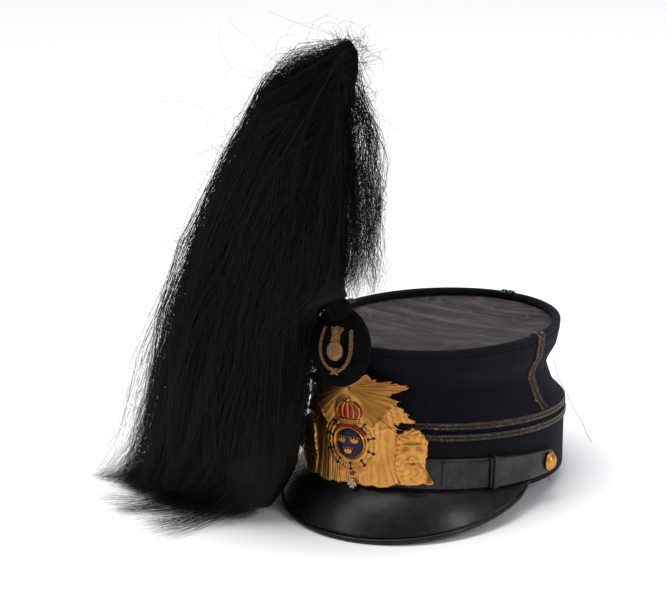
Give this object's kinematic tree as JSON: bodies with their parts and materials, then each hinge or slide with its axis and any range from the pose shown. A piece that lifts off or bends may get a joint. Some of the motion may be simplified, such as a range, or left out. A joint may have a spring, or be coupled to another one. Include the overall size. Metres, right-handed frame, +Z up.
{
  "type": "shako hat",
  "caption": "Low cloth shako with a sunken leather top, metal braid, patent visor, relief front plate and a tall horsehair plume that falls to one side.",
  "frame": {"origin": "middle of the footprint's bounding box, on the table that the hat and the plume's hair stand on", "axes": "-Y the hat's front, +X the wearer's left, +Z up; the hat leans back about 7 degrees on its visor"},
  "size_m": [0.2688, 0.2884, 0.303],
  "materials": {
    "midnight_wool": "matt midnight-blue felted wool",
    "worn_top_leather": "worn grey-brown leather with creases",
    "tarnished_braid": "tarnished metal-thread braid",
    "black_patent_leather": "glossy black patent leather, worn at the edge",
    "black_strap_leather": "polished black leather",
    "gilt_brass": "bright gilt",
    "blue_enamel": "deep blue glass enamel",
    "red_enamel": "red glass enamel",
    "white_enamel": "off-white glass enamel",
    "black_velvet": "black velvet over a hard pad",
    "gold_thread": "coppery gold wire embroidery",
    "black_horsehair": "loose black horsehair",
    "blackened_steel": "blackened"
  },
  "bodies": {
    "root": {"band": "midnight_wool", "crown_side": "midnight_wool", "top_welt": "midnight_wool", "top_disc": "worn_top_leather", "braid_lower": "tarnished_braid", "braid_upper": "tarnished_braid", "side_braid_left_a": "tarnished_braid", "side_braid_left_b": "tarnished_braid", "side_braid_right_a": "tarnished_braid", "side_braid_right_b": "tarnished_braid", "side_braid_back_a": "tarnished_braid", "side_braid_back_b": "tarnished_braid", "visor": "black_patent_leather", "visor_edge": "black_patent_leather", "chin_strap": "black_strap_leather", "strap_wing_left": "black_strap_leather", "strap_slide_left": "black_strap_leather", "strap_wing_right": "black_strap_leather", "strap_slide_right": "black_strap_leather", "button_left": "gilt_brass", "button_right": "gilt_brass", "sunburst_plate": "gilt_brass", "medallion_rim": "gilt_brass", "medallion_enamel": "blue_enamel", "medallion_crown_1": "gilt_brass", "medallion_crown_2": "gilt_brass", "medallion_crown_3": "gilt_brass", "crown_ring": "gilt_brass", "crown_cap": "red_enamel", "crown_arch_1": "gilt_brass", "crown_arch_2": "gilt_brass", "crown_arch_3": "gilt_brass", "crown_arch_4": "gilt_brass", "crown_arch_5": "gilt_brass", "crown_orb": "gilt_brass", "collar_pin_1": "blue_enamel", "collar_pin_2": "blue_enamel", "collar_pin_3": "blue_enamel", "collar_pin_4": "blue_enamel", "collar_pin_5": "blue_enamel", "collar_pin_6": "blue_enamel", "collar_pin_7": "blue_enamel", "collar_pin_8": "blue_enamel", "collar_pin_9": "blue_enamel", "pendant_cross": "white_enamel", "plume_socket": "blackened_steel", "boss": "black_velvet", "wreath_left": "gold_thread", "wreath_right": "gold_thread", "grenade_ball": "gold_thread", "grenade_flame": "gold_thread", "plume": "black_horsehair"}
  },
  "joints": []
}
